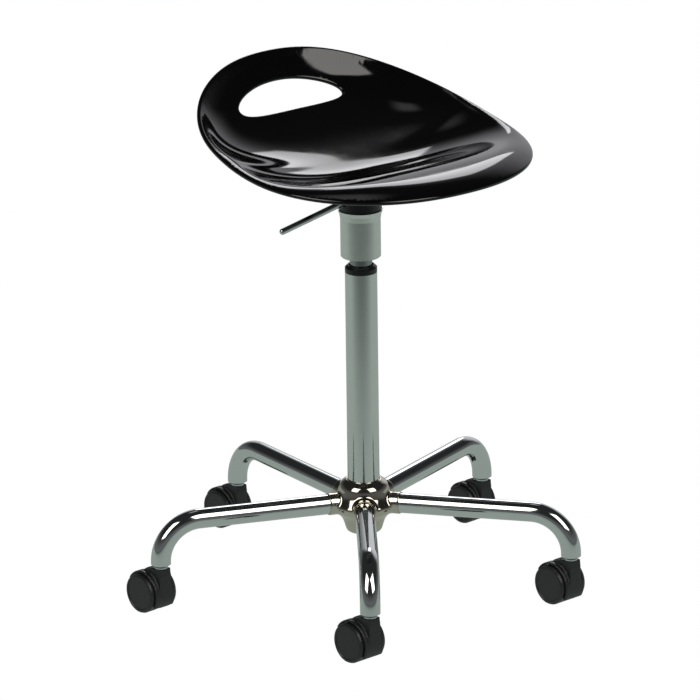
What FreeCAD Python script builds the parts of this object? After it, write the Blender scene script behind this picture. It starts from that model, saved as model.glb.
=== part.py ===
import FreeCAD, Part
import math
import os
import Sketcher
from FreeCAD import Placement, Rotation, Vector

# Swivel stool: a glossy shell seat on a gas spring, over a five-legged tube base
# on twin-wheel casters. Millimetres. Origin on the floor under the column,
# +Z up, seat front towards -Y, release lever towards -X.

os.makedirs("parts", exist_ok=True)
doc = FreeCAD.newDocument("Stool")
sheet = doc.addObject("Spreadsheet::Sheet", "Sizes")

sizes = [
    # casters
    ("wheel_diameter", 50), ("wheel_width", 16), ("wheel_gap", 9.5), ("wheel_rim", 4.2),
    ("wheel_web", 4.5), ("wheel_boss", 13), ("wheel_edge", 1.2), ("wheel_dish", 0.8),
    ("wheel_round", 3.2), ("wheel_shave", 0.9),
    ("axle_diameter", 6), ("axle_depth", 10), ("caster_trail", 20), ("caster_heading", -85.3),
    ("hood_width", 31), ("hood_wall", 2.6), ("hood_clearance", 0.8), ("hood_front_angle", 35),
    ("hood_rear_angle", 150), ("hood_edge", 1.6), ("crown_wall", 2), ("crown_drop", 9),
    ("crown_bulge", 1), ("fork_clearance", 0.5), ("fork_boss", 18),
    ("stem_diameter", 11), ("stem_neck", 6), ("stem_gap", 5), ("stem_bearing", 12),
    ("stem_tail", 16), ("stem_depth", 16), ("stem_shoulder", 17), ("stem_shoulder_height", 1.6),
    # base
    ("base_radius", 267), ("leg_end_height", 65), ("leg_diameter", 25), ("leg_wall", 1.5),
    ("leg_bend", 50), ("leg_tail", 3), ("leg_rise", 1.3), ("leg_start", 24),
    ("plug_height", 20), ("plug_skirt", 3), ("plug_wall", 2.2), ("web_fillet", 3), ("shoulder_share", 0.55),
    ("hub_reach", 49), ("socket_wall", 1.6), ("socket_flare", 1.5), ("hub_top", 144),
    ("hub_neck", 44), ("hub_shoulder", 31), ("hub_boss", 49), ("hub_foot", 43), ("hub_bottom", 74),
    ("hub_boss_height", 22), ("hub_fillet", 9), ("hub_end_round", 4), ("hub_recess", 9.5),
    # column
    ("column_diameter", 40), ("column_wall", 2), ("column_taper", 1.2), ("column_top", 413.5),
    ("column_floor", 4), ("bush_length", 70), ("bush_head", 9.5), ("bush_chamfer_share", 0.58),
    # gas spring
    ("cylinder_diameter", 28), ("cylinder_wall", 2), ("rest_gap", 10.5), ("stroke", 190),
    ("gland_height", 16), ("rod_diameter", 10), ("rod_neck", 8), ("piston_height", 12),
    ("washer_diameter", 24), ("washer_height", 1.5), ("bearing_height", 4),
    ("stop_height", 12), ("stop_diameter", 20), ("stop_gap", 1), ("clip_height", 1.2),
    ("clip_diameter", 13), ("clip_groove", 0.8), ("end_height", 1.2),
    # seat support
    ("collar_height", 61), ("collar_diameter", 50), ("collar_top_diameter", 57),
    ("collar_flare", 12), ("flare_waist", 0.3), ("flare_drop", 0.45), ("housing_diameter", 53), ("housing_height", 33),
    ("spigot_diameter", 36), ("cylinder_entry", 6), ("valve_height", 16), ("pin_diameter", 5),
    ("pin_depth", 11), ("pin_gap", 0.25), ("pin_well_gap", 0.2), ("plate_size", 130), ("plate_thickness", 3),
    ("plate_corner", 14), ("screw_spacing", 94), ("screw_diameter", 6), ("screw_head", 11),
    ("screw_head_height", 3.6), ("hex_key", 4), ("insert_diameter", 9), ("insert_height", 10),
    ("boss_diameter", 18),
    # lever
    ("lever_diameter", 8), ("lever_reach", 123), ("lever_arm", 20), ("lever_heel", 5),
    ("lever_height", 14), ("lever_droop", 11.3), ("lever_pull", 6), ("lever_pivot", 4),
    ("slot_clearance", 0.5), ("slot_margin", 1.1),
    # seat shell
    ("seat_width", 391), ("seat_depth", 402), ("seat_back", 190), ("seat_widest", 20),
    ("seat_squareness", 2.23), ("seat_wall", 6), ("seat_rim", 72), ("seat_rise", 90),
    ("seat_bowl", 37), ("seat_lip", 5), ("seat_waterfall", 6), ("seat_tilt_share", 0.15), ("seat_curl", 3),
    ("bowl_entry", 160), ("bowl_power", 2.6), ("bowl_steepness", 13), ("bowl_wall_start", 10),
    ("bowl_wall_length", 165), ("roll_start", 30), ("roll_length", 140), ("roll_width", 0.07),
    ("roll_growth", 0.16),
    ("grip_width", 155), ("grip_front", 131), ("grip_back", 180), ("grip_squareness", 0.9),
    ("grip_taper", 0.1), ("grip_bend", 0.0013),
    # fits
    ("running", 0.05), ("slip", 0.02), ("play", 0.3),
]
for row, (name, value) in enumerate(sizes):
    sheet.set("A%d" % (row + 1), str(value))
    sheet.setAlias("A%d" % (row + 1), name)
doc.recompute()


class Size:
    """A length or angle that keeps both its number and the sheet expression behind it."""

    def __init__(self, value, text):
        self.value = float(value)
        self.text = text

    def join(self, other, sign, value, swap=False):
        otherText = other.text if isinstance(other, Size) else repr(other)
        left, right = (otherText, self.text) if swap else (self.text, otherText)
        return Size(value, "(%s %s %s)" % (left, sign, right))

    def __add__(self, other):
        return self.join(other, "+", self.value + number(other))

    def __sub__(self, other):
        return self.join(other, "-", self.value - number(other))

    def __mul__(self, other):
        return self.join(other, "*", self.value * number(other))

    def __truediv__(self, other):
        return self.join(other, "/", self.value / number(other))

    def __radd__(self, other):
        return self.join(other, "+", self.value + other, True)

    def __rsub__(self, other):
        return self.join(other, "-", other - self.value, True)

    def __rmul__(self, other):
        return self.join(other, "*", self.value * other, True)

    def __neg__(self):
        return Size(-self.value, "(0 - %s)" % self.text)


def number(item):
    return item.value if isinstance(item, Size) else float(item)


def size(name):
    return Size(sheet.get(name), "Sizes." + name)


def sinOf(angle):
    return Size(math.sin(math.radians(angle.value)), "sin(%s)" % angle.text)


def cosOf(angle):
    return Size(math.cos(math.radians(angle.value)), "cos(%s)" % angle.text)


def tanOf(angle):
    return Size(math.tan(math.radians(angle.value)), "tan(%s)" % angle.text)


def bind(item, prop, amount):
    setattr(item, prop, number(amount))
    if isinstance(amount, Size):
        item.setExpression(prop, amount.text)


class At:
    """Attribute access to every named size."""

    def __getattr__(self, name):
        return size(name)


z = At()

# ---------------------------------------------------------------- helpers


def newBody(label, placement=None):
    body = doc.addObject("PartDesign::Body", label)
    body.Label = label
    if placement is not None:
        body.Placement = placement
    return body


def originPlane(body, role):
    for feature in body.Origin.OriginFeatures:
        if feature.Role == role:
            return feature
    raise ValueError(role)


def newSketch(body, name, role, offset=0):
    sketch = body.newObject("Sketcher::SketchObject", name)
    sketch.AttachmentSupport = [(originPlane(body, role), "")]
    sketch.MapMode = "FlatFace"
    if isinstance(offset, Size) or offset:
        sketch.AttachmentOffset = Placement(Vector(0, 0, number(offset)), Rotation())
        if isinstance(offset, Size):
            sketch.setExpression("AttachmentOffset.Base.z", offset.text)
    return sketch


def holdPoint(sketch, line, end, place):
    for axis, amount in zip(("DistanceX", "DistanceY"), place):
        index = sketch.addConstraint(Sketcher.Constraint(axis, -1, 1, line, end, number(amount)))
        if isinstance(amount, Size):
            sketch.setExpression("Constraints[%d]" % index, amount.text)


def drawPolygon(sketch, corners):
    points = [Vector(number(a), number(b), 0) for a, b in corners]
    first = None
    for here, there in zip(points, points[1:] + points[:1]):
        line = sketch.addGeometry(Part.LineSegment(here, there), False)
        first = line if first is None else first
    count = len(points)
    for k in range(count):
        after = first + (k + 1) % count
        sketch.addConstraint(Sketcher.Constraint("Coincident", first + k, 2, after, 1))
    for k in range(count):
        holdPoint(sketch, first + k, 1, corners[k])


def drawCircle(sketch, radius, centre=(0, 0)):
    middle = Vector(number(centre[0]), number(centre[1]), 0)
    circle = sketch.addGeometry(Part.Circle(middle, Vector(0, 0, 1), number(radius)), False)
    holdPoint(sketch, circle, 3, centre)
    index = sketch.addConstraint(Sketcher.Constraint("Radius", circle, number(radius)))
    sketch.setExpression("Constraints[%d]" % index, radius.text)


def revolve(body, sketch, kind="PartDesign::Revolution"):
    turn = body.newObject(kind, sketch.Name + "_turn")
    turn.Profile = sketch
    turn.ReferenceAxis = (sketch, ["V_Axis"])
    turn.Angle = 360
    return turn


def pad(body, sketch, length, middle=False, flip=False):
    block = body.newObject("PartDesign::Pad", sketch.Name + "_pad")
    block.Profile = sketch
    bind(block, "Length", length)
    block.Midplane = middle
    block.Reversed = flip
    return block


def pocket(body, sketch, length=None, middle=False, flip=False):
    cut = body.newObject("PartDesign::Pocket", sketch.Name + "_cut")
    cut.Profile = sketch
    if length is None:
        cut.Type = "ThroughAll"
        cut.Midplane = True
    else:
        bind(cut, "Length", length)
        cut.Midplane = middle
    cut.Reversed = flip
    return cut


def edgesWhere(shape, test):
    return ["Edge%d" % (k + 1) for k, edge in enumerate(shape.Edges) if test(edge)]


def roundOff(body, radius, test, kind="PartDesign::Fillet"):
    doc.recompute()
    tip = body.Tip
    names = edgesWhere(tip.Shape, test)
    finish = body.newObject(kind, body.Label + "_round")
    finish.Base = (tip, names)
    bind(finish, "Radius" if kind.endswith("Fillet") else "Size", radius)
    return finish


def isRing(edge, radius=None, height=None, slack=0.02):
    curve = edge.Curve
    if not isinstance(curve, Part.Circle):
        return False
    if radius is not None and abs(curve.Radius - number(radius)) > slack:
        return False
    return height is None or abs(curve.Center.z - number(height)) < slack


def turned(label, corners, placement=None):
    body = newBody(label, placement)
    sketch = newSketch(body, label + "_profile", "XZ_Plane")
    drawPolygon(sketch, corners)
    revolve(body, sketch)
    return body


def ringCorners(inner, outer, low, high):
    return [(inner, low), (outer, low), (outer, high), (inner, high)]


def aboutZ(angle, radius=0.0, height=0.0):
    turn = math.radians(angle)
    place = Vector(radius * math.cos(turn), radius * math.sin(turn), height)
    return Placement(place, Rotation(Vector(0, 0, 1), angle))


# ---------------------------------------------------------------- shared places

wheelRadius = z.wheel_diameter / 2
legRadius = z.leg_diameter / 2
columnRadius = z.column_diameter / 2
cylinderRadius = z.cylinder_diameter / 2
bendCentre = z.base_radius - z.leg_bend
bendHeight = z.leg_end_height + z.leg_tail
legTop = bendHeight + z.leg_bend * cosOf(z.leg_rise)
legTopRadius = bendCentre - z.leg_bend * sinOf(z.leg_rise)
legHeight = legTop - legTopRadius * tanOf(z.leg_rise)
bushTop = z.column_top + z.bush_head
collarBottom = bushTop + z.rest_gap
collarTop = collarBottom + z.collar_height
plateBottom = collarTop + z.housing_height
plateTop = plateBottom + z.plate_thickness
columnBottom = z.hub_bottom + z.hub_recess
bearingBottom = columnBottom + z.column_floor
shoulderHeight = bearingBottom + z.bearing_height + z.washer_height * 2
cylinderBottom = shoulderHeight + z.stop_height + z.stop_gap
cylinderTop = collarTop + z.cylinder_entry
legCount = 5
legAngles = [90 + 360 * k // legCount for k in range(legCount)]

# ---------------------------------------------------------------- legs

for k, angle in enumerate(legAngles):
    leg = newBody("leg_%d" % (k + 1), aboutZ(angle))
    path = newSketch(leg, "leg_%d_path" % (k + 1), "XZ_Plane")
    foot = Vector(z.base_radius.value, z.leg_end_height.value, 0)
    ankle = Vector(z.base_radius.value, bendHeight.value, 0)
    centre = Vector(bendCentre.value, bendHeight.value, 0)
    top = Vector(legTopRadius.value, legTop.value, 0)
    startHeight = legHeight + z.leg_start * tanOf(z.leg_rise)
    start = Vector(z.leg_start.value, startHeight.value, 0)
    tail = path.addGeometry(Part.LineSegment(foot, ankle), False)
    quarter = math.radians(90 + z.leg_rise.value)
    bend = path.addGeometry(Part.ArcOfCircle(
        Part.Circle(centre, Vector(0, 0, 1), z.leg_bend.value), 0, quarter), False)
    run = path.addGeometry(Part.LineSegment(top, start), False)
    path.addConstraint(Sketcher.Constraint("Tangent", tail, 2, bend, 1))
    path.addConstraint(Sketcher.Constraint("Tangent", bend, 2, run, 1))
    holdPoint(path, tail, 1, (z.base_radius, z.leg_end_height))
    holdPoint(path, tail, 2, (z.base_radius, bendHeight))
    holdPoint(path, run, 2, (z.leg_start, startHeight))
    radius = path.addConstraint(Sketcher.Constraint("Radius", bend, z.leg_bend.value))
    path.setExpression("Constraints[%d]" % radius, z.leg_bend.text)
    section = newSketch(leg, "leg_%d_section" % (k + 1), "XY_Plane", z.leg_end_height)
    drawCircle(section, legRadius, (z.base_radius, 0))
    drawCircle(section, legRadius - z.leg_wall, (z.base_radius, 0))
    doc.recompute()
    sweep = leg.newObject("PartDesign::AdditivePipe", "leg_%d_sweep" % (k + 1))
    sweep.Profile = section
    sweep.Spine = (path, ["Edge1", "Edge2", "Edge3"])

# ---------------------------------------------------------------- hub

socketRadius = legRadius + z.slip + z.socket_wall
boreTop = columnRadius + z.slip
boreBottom = columnRadius - z.column_taper + z.slip
neckRadius = z.hub_neck / 2
bossRadius = z.hub_boss / 2
footRadius = z.hub_foot / 2
core = newBody("hub_core")
coreSketch = newSketch(core, "hub_core_profile", "XZ_Plane")
shoulderBand = socketRadius * z.shoulder_share
drawPolygon(coreSketch, [
    (0, z.hub_bottom), (footRadius, z.hub_bottom), (bossRadius, z.hub_bottom + z.hub_boss_height),
    (z.hub_shoulder, legHeight - shoulderBand), (z.hub_shoulder, legHeight + shoulderBand),
    (neckRadius, z.hub_top), (0, z.hub_top)])
revolve(core, coreSketch)
roundOff(core, z.hub_end_round, lambda e: isRing(e, footRadius, z.hub_bottom))
roundOff(core, z.hub_fillet, lambda e: isRing(e, z.hub_shoulder))

sockets = []
bores = []
for k, angle in enumerate(legAngles):
    lean = Placement(Vector(0, 0, legHeight.value), Rotation(Vector(0, 1, 0), 90 - z.leg_rise.value))
    swing = Placement(Vector(), Rotation(Vector(0, 0, 1), angle))
    socket = doc.addObject("Part::Cone", "socket_%d" % (k + 1))
    bind(socket, "Radius1", socketRadius - z.socket_flare)
    bind(socket, "Radius2", socketRadius)
    bind(socket, "Height", z.hub_reach)
    socket.Placement = swing.multiply(lean)
    sockets.append(socket)
    bore = doc.addObject("Part::Cylinder", "socket_bore_%d" % (k + 1))
    bind(bore, "Radius", legRadius + z.slip)
    bind(bore, "Height", z.hub_reach)
    slide = Placement(Vector(0, 0, z.leg_start.value), Rotation())
    bore.Placement = swing.multiply(lean).multiply(slide)
    bores.append(bore)
star = doc.addObject("Part::MultiFuse", "hub_star")
star.Shapes = [core] + sockets
star.Refine = True
columnBore = doc.addObject("Part::Cone", "column_bore")
bind(columnBore, "Radius1", boreBottom)
bind(columnBore, "Radius2", boreTop)
bind(columnBore, "Height", z.hub_top - z.hub_bottom)
columnBore.Placement = Placement(Vector(0, 0, z.hub_bottom.value), Rotation())
doc.recompute()
blend = doc.addObject("Part::Fillet", "hub_blend")
blend.Base = star


webInset = 2
webShortest = 6


def isWeb(edge):
    """True for the seams between the sockets and the core."""
    box = edge.BoundBox
    reach = math.hypot(max(abs(box.XMin), abs(box.XMax)), max(abs(box.YMin), abs(box.YMax)))
    return reach < z.hub_reach.value - webInset and not isRing(edge) and edge.Length > webShortest


webEdges = [k + 1 for k, edge in enumerate(star.Shape.Edges) if isWeb(edge)]
# the fullest web fillet that the seams have room for
filletShares = (1.0, 0.85, 0.7, 0.55, 0.4, 0.25)
for share in filletShares:
    webRadius = z.web_fillet.value * share
    blend.Edges = [(k, webRadius, webRadius) for k in webEdges]
    doc.recompute()
    if "Invalid" not in blend.State and blend.Shape.isValid():
        break
allBores = doc.addObject("Part::MultiFuse", "hub_bores")
allBores.Shapes = bores + [columnBore]
hub = doc.addObject("Part::Cut", "hub")
hub.Base = blend
hub.Tool = allBores
hub.Label = "hub"

pieces = [doc.getObject("leg_%d" % (k + 1)) for k in range(legCount)] + [hub]

# ---------------------------------------------------------------- column

columnEnd = columnRadius - z.column_taper
column = turned("column_tube", [
    (z.rod_neck / 2 + z.running, columnBottom), (columnEnd, columnBottom),
    (columnRadius, z.hub_top), (columnRadius, z.column_top),
    (columnRadius - z.column_wall, z.column_top), (columnRadius - z.column_wall, z.hub_top),
    (columnEnd - z.column_wall, bearingBottom), (z.rod_neck / 2 + z.running, bearingBottom)])
bushBore = cylinderRadius + z.running
bushChamfer = (columnRadius - bushBore) * z.bush_chamfer_share
bush = turned("guide_bush", [
    (bushBore, bushTop - z.bush_length), (columnRadius - z.column_wall - z.slip, bushTop - z.bush_length),
    (columnRadius - z.column_wall - z.slip, z.column_top), (columnRadius, z.column_top),
    (columnRadius, bushTop - bushChamfer), (columnRadius - bushChamfer, bushTop),
    (bushBore + bushChamfer / 2, bushTop), (bushBore, bushTop - bushChamfer)])

# ---------------------------------------------------------------- rod and bearing

rodRadius = z.rod_diameter / 2
neckHalf = z.rod_neck / 2
clipTop = columnBottom - z.running
clipBottom = clipTop - z.clip_height
pistonBottom = bushTop - z.bush_length + z.rod_diameter / 2
pistonTop = pistonBottom + z.piston_height
rod = turned("piston_rod", [
    (0, clipBottom - z.end_height), (neckHalf, clipBottom - z.end_height), (neckHalf, clipBottom),
    (neckHalf - z.clip_groove, clipBottom), (neckHalf - z.clip_groove, clipTop), (neckHalf, clipTop),
    (neckHalf, shoulderHeight), (rodRadius, shoulderHeight), (rodRadius, pistonBottom),
    (neckHalf, pistonBottom), (neckHalf, pistonTop), (0, pistonTop)])
piston = turned("piston", ringCorners(
    neckHalf, cylinderRadius - z.cylinder_wall - z.running, pistonBottom, pistonTop))
washerLow = turned("thrust_washer_lower", ringCorners(
    neckHalf + z.running, z.washer_diameter / 2, bearingBottom, bearingBottom + z.washer_height))
bearing = turned("thrust_bearing", ringCorners(
    neckHalf + z.running, z.washer_diameter / 2 - z.play, bearingBottom + z.washer_height,
    shoulderHeight - z.washer_height))
washerTop = turned("thrust_washer_upper", ringCorners(
    neckHalf + z.slip, z.washer_diameter / 2, shoulderHeight - z.washer_height, shoulderHeight))
stop = turned("bump_stop", ringCorners(
    rodRadius + z.slip, z.stop_diameter / 2, shoulderHeight, shoulderHeight + z.stop_height))
clip = turned("rod_clip", ringCorners(
    neckHalf - z.clip_groove, z.clip_diameter / 2, clipBottom, clipTop))

# ---------------------------------------------------------------- gas cylinder

cylinder = turned("gas_cylinder", ringCorners(
    cylinderRadius - z.cylinder_wall, cylinderRadius, cylinderBottom, cylinderTop))
gland = turned("cylinder_gland", ringCorners(
    rodRadius + z.running, cylinderRadius - z.cylinder_wall - z.slip, cylinderBottom,
    cylinderBottom + z.gland_height))
pinRadius = z.pin_diameter / 2
pinBottom = cylinderTop - z.pin_depth
heelHeight = (z.lever_arm - pinRadius) * tanOf(z.lever_droop)
leverUnder = collarTop + z.lever_height + heelHeight - z.lever_diameter / 2 / cosOf(z.lever_droop)
pinTop = leverUnder - z.pin_gap
pinTravel = z.lever_arm * sinOf(z.lever_pull)
valve = turned("valve_plug", [
    (0, cylinderTop - z.valve_height), (cylinderRadius - z.cylinder_wall - z.slip, cylinderTop - z.valve_height),
    (cylinderRadius - z.cylinder_wall - z.slip, cylinderTop), (pinRadius + z.running, cylinderTop),
    (pinRadius + z.running, pinBottom - pinTravel - z.play), (0, pinBottom - pinTravel - z.play)])
pin = turned("release_pin", [
    (0, pinBottom), (pinRadius, pinBottom), (pinRadius, pinTop - pinRadius / 2),
    (pinRadius / 2, pinTop), (0, pinTop)])

# ---------------------------------------------------------------- collar, housing, plate

collarRadius = z.collar_diameter / 2
collarTopRadius = z.collar_top_diameter / 2
collar = turned("collar", [
    (cylinderRadius + z.slip, collarBottom), (collarRadius - z.wheel_edge, collarBottom),
    (collarRadius, collarBottom + z.wheel_edge), (collarRadius, collarTop - z.collar_flare),
    (collarRadius + (collarTopRadius - collarRadius) * z.flare_waist,
     collarTop - z.collar_flare * z.flare_drop),
    (collarTopRadius, collarTop), (cylinderRadius + z.slip, collarTop)])

leverRadius = z.lever_diameter / 2
leverAxis = collarTop + z.lever_height
housing = newBody("lever_housing")
housingSketch = newSketch(housing, "lever_housing_profile", "XZ_Plane")
housingRadius = z.housing_diameter / 2
drawPolygon(housingSketch, [
    (0, cylinderTop), (cylinderRadius + z.slip, cylinderTop), (cylinderRadius + z.slip, collarTop),
    (housingRadius, collarTop), (housingRadius, plateBottom), (z.spigot_diameter / 2, plateBottom),
    (z.spigot_diameter / 2, plateTop), (0, plateTop)])
revolve(housing, housingSketch)
slotHalf = leverRadius + z.slot_clearance
innerReach = z.lever_heel + z.slot_clearance + leverRadius * sinOf(z.lever_droop)
droopOut = (housingRadius - z.lever_arm) * tanOf(z.lever_droop)
riseIn = (z.lever_arm + z.lever_heel) * tanOf(z.lever_droop)
slotLow = leverAxis - droopOut - slotHalf * z.slot_margin
slotHigh = leverAxis + riseIn + slotHalf * z.slot_margin
slotSketch = newSketch(housing, "lever_slot", "XZ_Plane")
drawPolygon(slotSketch, [
    (-housingRadius - z.slot_clearance, slotLow), (innerReach, slotLow), (innerReach, slotHigh),
    (-housingRadius - z.slot_clearance, slotHigh)])
pocket(housing, slotSketch, slotHalf * 2, True)
wellSketch = newSketch(housing, "pin_well", "XY_Plane", cylinderTop)
drawCircle(wellSketch, pinRadius + z.pin_well_gap)
pocket(housing, wellSketch, z.lever_height, False, True)
pivotSketch = newSketch(housing, "lever_pivot_bore", "XZ_Plane")
drawCircle(pivotSketch, z.lever_pivot / 2, (-z.lever_arm, leverAxis))
pocket(housing, pivotSketch)

pivot = newBody("lever_pivot_pin")
pivotPin = newSketch(pivot, "lever_pivot_section", "XZ_Plane")
drawCircle(pivotPin, z.lever_pivot / 2, (-z.lever_arm, leverAxis))
pivotChord = Size(2 * math.sqrt(housingRadius.value ** 2 - z.lever_arm.value ** 2),
                  "(2 * sqrt(%s ^ 2 - %s ^ 2))" % (housingRadius.text, z.lever_arm.text))
pad(pivot, pivotPin, pivotChord - z.play * 2, True)

plate = newBody("mounting_plate")
plateSketch = newSketch(plate, "mounting_plate_outline", "XY_Plane", plateBottom)
halfPlate = z.plate_size / 2
drawPolygon(plateSketch, [(-halfPlate, -halfPlate), (halfPlate, -halfPlate),
                          (halfPlate, halfPlate), (-halfPlate, halfPlate)])
pad(plate, plateSketch, z.plate_thickness)
roundOff(plate, z.plate_corner, lambda e: e.BoundBox.ZLength > 1)
plateHoles = newSketch(plate, "mounting_plate_holes", "XY_Plane", plateTop)
screwHalf = z.screw_spacing / 2
screwRadius = z.screw_diameter / 2
drawCircle(plateHoles, z.spigot_diameter / 2 + z.slip)
screwPlaces = [(-screwHalf, -screwHalf), (screwHalf, -screwHalf), (screwHalf, screwHalf), (-screwHalf, screwHalf)]
for place in screwPlaces:
    drawCircle(plateHoles, screwRadius + z.play, place)
pocket(plate, plateHoles, z.plate_thickness)

# ---------------------------------------------------------------- seat screws and inserts


def placed(shape, corner):
    return shape.translated(Vector(number(corner[0]), number(corner[1]), 0))


def grouped(label, parts):
    group = doc.addObject("Part::Compound", label)
    group.Label = label
    group.Links = parts
    return group


screws = []
inserts = []
for k, corner in enumerate(screwPlaces):
    spot = Placement(Vector(number(corner[0]), number(corner[1]), 0), Rotation())
    screw = turned("plate_screw_%d" % (k + 1), [
        (0, plateBottom - z.screw_head_height), (z.screw_head / 2 - z.wheel_edge, plateBottom - z.screw_head_height),
        (z.screw_head / 2, plateBottom - z.screw_head_height / 2), (z.screw_head / 2, plateBottom),
        (screwRadius, plateBottom), (screwRadius, plateTop + z.insert_height - z.play),
        (0, plateTop + z.insert_height - z.play)], spot)
    socketSketch = newSketch(screw, "plate_screw_%d_key" % (k + 1), "XY_Plane",
                             plateBottom - z.screw_head_height)
    drawCircle(socketSketch, z.hex_key / 2)
    pocket(screw, socketSketch, z.screw_head_height / 2, False, True)
    screws.append(screw)
    inserts.append(turned("seat_insert_%d" % (k + 1), ringCorners(
        screwRadius, z.insert_diameter / 2, plateTop, plateTop + z.insert_height), spot))
plateScrews = grouped("plate_screws", screws)
seatInserts = grouped("seat_inserts", inserts)

# ---------------------------------------------------------------- lever

lever = newBody("release_lever")
leverLength = (z.lever_reach - z.lever_arm) / cosOf(z.lever_droop)
leverSketch = newSketch(lever, "release_lever_section", "YZ_Plane", -(z.lever_arm + z.lever_heel))
drawCircle(leverSketch, leverRadius)
pad(lever, leverSketch, z.lever_arm + z.lever_heel + leverLength)
roundOff(lever, leverRadius - z.play, lambda e: e.BoundBox.XMin > leverLength.value - z.play.value)
eye = newSketch(lever, "release_lever_eye", "XZ_Plane")
drawCircle(eye, z.lever_pivot / 2 + z.running)
pocket(lever, eye)
lever.Placement = Placement(Vector(-z.lever_arm.value, 0, leverAxis.value),
                            Rotation(Vector(0, 1, 0), 180 - z.lever_droop.value))

# ---------------------------------------------------------------- seat shell

shellBase = collarTop + z.seat_rim
halfWidth = z.seat_width / 2
backLength = z.seat_back + z.seat_widest
frontLength = z.seat_depth - backLength


def ease(amount):
    """Smooth step from 0 to 1."""
    held = min(max(amount, 0.0), 1.0)
    return held * held * (3 - 2 * held)


def outlineShare(x, y):
    """0 at the widest line's middle, 1 on the outline."""
    along = y + z.seat_widest.value
    length = backLength.value if along > 0 else frontLength.value
    power = z.seat_squareness.value
    total = abs(x / halfWidth.value) ** power + abs(along / length) ** power
    return total ** (1 / power)


def seatHeight(x, y):
    """Height of the shell's top face: rim line, less bowl, less rolled edge."""
    share = outlineShare(x, y)
    front = z.seat_depth.value - z.seat_back.value
    run = max((y + front) / z.seat_depth.value, 0.0)
    tilt = z.seat_tilt_share.value
    rim = shellBase.value + z.seat_rise.value * (tilt * run + (1 - tilt) * run ** z.seat_curl.value)
    deep = z.seat_bowl.value * ease((y + z.bowl_entry.value) / z.bowl_entry.value)
    wall = ease((y - z.bowl_wall_start.value) / z.bowl_wall_length.value)
    power = z.bowl_power.value + z.bowl_steepness.value * wall
    bowl = 1 - share ** power if share < 1 else -power * (share - 1)
    frontness = ease((-y - z.roll_start.value) / z.roll_length.value)
    rollWidth = z.roll_width.value + z.roll_growth.value * frontness
    roll = z.seat_lip.value + z.seat_waterfall.value * frontness
    lip = max((share - 1 + rollWidth) / rollWidth, 0.0)
    lip = lip * lip if lip < 1 else 1 + 2 * (lip - 1)
    return rim - deep * bowl + roll * (1 - lip)


def seatNormal(x, y):
    step = 0.5
    across = (seatHeight(x + step, y) - seatHeight(x - step, y)) / (2 * step)
    along = (seatHeight(x, y + step) - seatHeight(x, y - step)) / (2 * step)
    return Vector(-across, -along, 1).normalize()


def seatFace(depth):
    """Smooth face a given depth under the shell's top."""
    margin = 12
    columns = 49
    rows = 61
    grid = []
    for i in range(columns):
        x = (halfWidth.value + margin) * (2 * i / (columns - 1) - 1)
        line = []
        for j in range(rows):
            y = -(z.seat_depth.value - z.seat_back.value) - margin
            y += (z.seat_depth.value + 2 * margin) * j / (rows - 1)
            point = Vector(x, y, seatHeight(x, y))
            line.append(point - seatNormal(x, y) * depth)
        grid.append(line)
    surface = Part.BSplineSurface()
    surface.interpolate(grid)
    return surface.toShape()


def seatOutline(share, height):
    points = []
    count = 72
    for k in range(count):
        turn = 2 * math.pi * k / count
        power = 2 / z.seat_squareness.value
        across = abs(math.cos(turn)) ** power * math.copysign(1, math.cos(turn))
        along = abs(math.sin(turn)) ** power * math.copysign(1, math.sin(turn))
        length = backLength.value if along > 0 else frontLength.value
        points.append(Vector(halfWidth.value * across * share,
                             length * along * share - z.seat_widest.value, height))
    curve = Part.BSplineCurve()
    curve.interpolate(points, PeriodicFlag=True)
    return Part.Face(Part.Wire(curve.toShape()))


def gripOutline(height):
    """Rounded D, wider towards the front, for the hand hole."""
    middle = (z.grip_front.value + z.grip_back.value) / 2
    half = (z.grip_back.value - z.grip_front.value) / 2
    points = []
    count = 40
    for k in range(count):
        turn = 2 * math.pi * k / count
        across = abs(math.cos(turn)) ** z.grip_squareness.value * math.copysign(1, math.cos(turn))
        along = math.sin(turn)
        squeeze = 1 - z.grip_taper.value * along
        x = z.grip_width.value / 2 * across * squeeze
        points.append(Vector(x, middle + half * along - z.grip_bend.value * x * x, height))
    curve = Part.BSplineCurve()
    curve.interpolate(points, PeriodicFlag=True)
    return Part.Face(Part.Wire(curve.toShape()))


# the blank runs from well under the shell to well over it
allowance = z.seat_rise.value + z.seat_bowl.value
floorHeight = plateTop.value - allowance
tallest = shellBase.value + z.seat_rise.value + allowance
down = Vector(0, 0, -z.seat_width.value)
topBlock = seatFace(0).extrude(down)
underBlock = seatFace(z.seat_wall.value).extrude(down)
blank = seatOutline(1.0, floorHeight).extrude(Vector(0, 0, tallest - floorHeight))
shell = topBlock.cut(underBlock).common(blank)
grip = gripOutline(floorHeight).extrude(Vector(0, 0, tallest - floorHeight))
shell = shell.cut(grip)
for corner in screwPlaces:
    boss = Part.makeCylinder(z.boss_diameter.value / 2, allowance, Vector(0, 0, plateTop.value))
    boss = placed(boss, corner).common(underBlock)
    shell = shell.fuse(boss)
for corner in screwPlaces:
    seatBore = Part.makeCylinder(z.insert_diameter.value / 2, z.insert_height.value + z.play.value,
                                 Vector(0, 0, plateTop.value))
    shell = shell.cut(placed(seatBore, corner))
if len(shell.Solids) == 1:
    shell = shell.Solids[0]
seat = doc.addObject("Part::Feature", "seat_shell")
seat.Label = "seat_shell"
seat.Shape = shell

pieces += [column, bush, rod, piston, washerLow, bearing, washerTop, stop, clip, cylinder, gland,
           valve, pin, collar, housing, pivot, plate, plateScrews, seatInserts, lever, seat]

# ---------------------------------------------------------------- casters


hair = 0.05
blendShare = 0.8
webSpan = 2
webRise = 1.5
blockShare = 1.5


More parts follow.
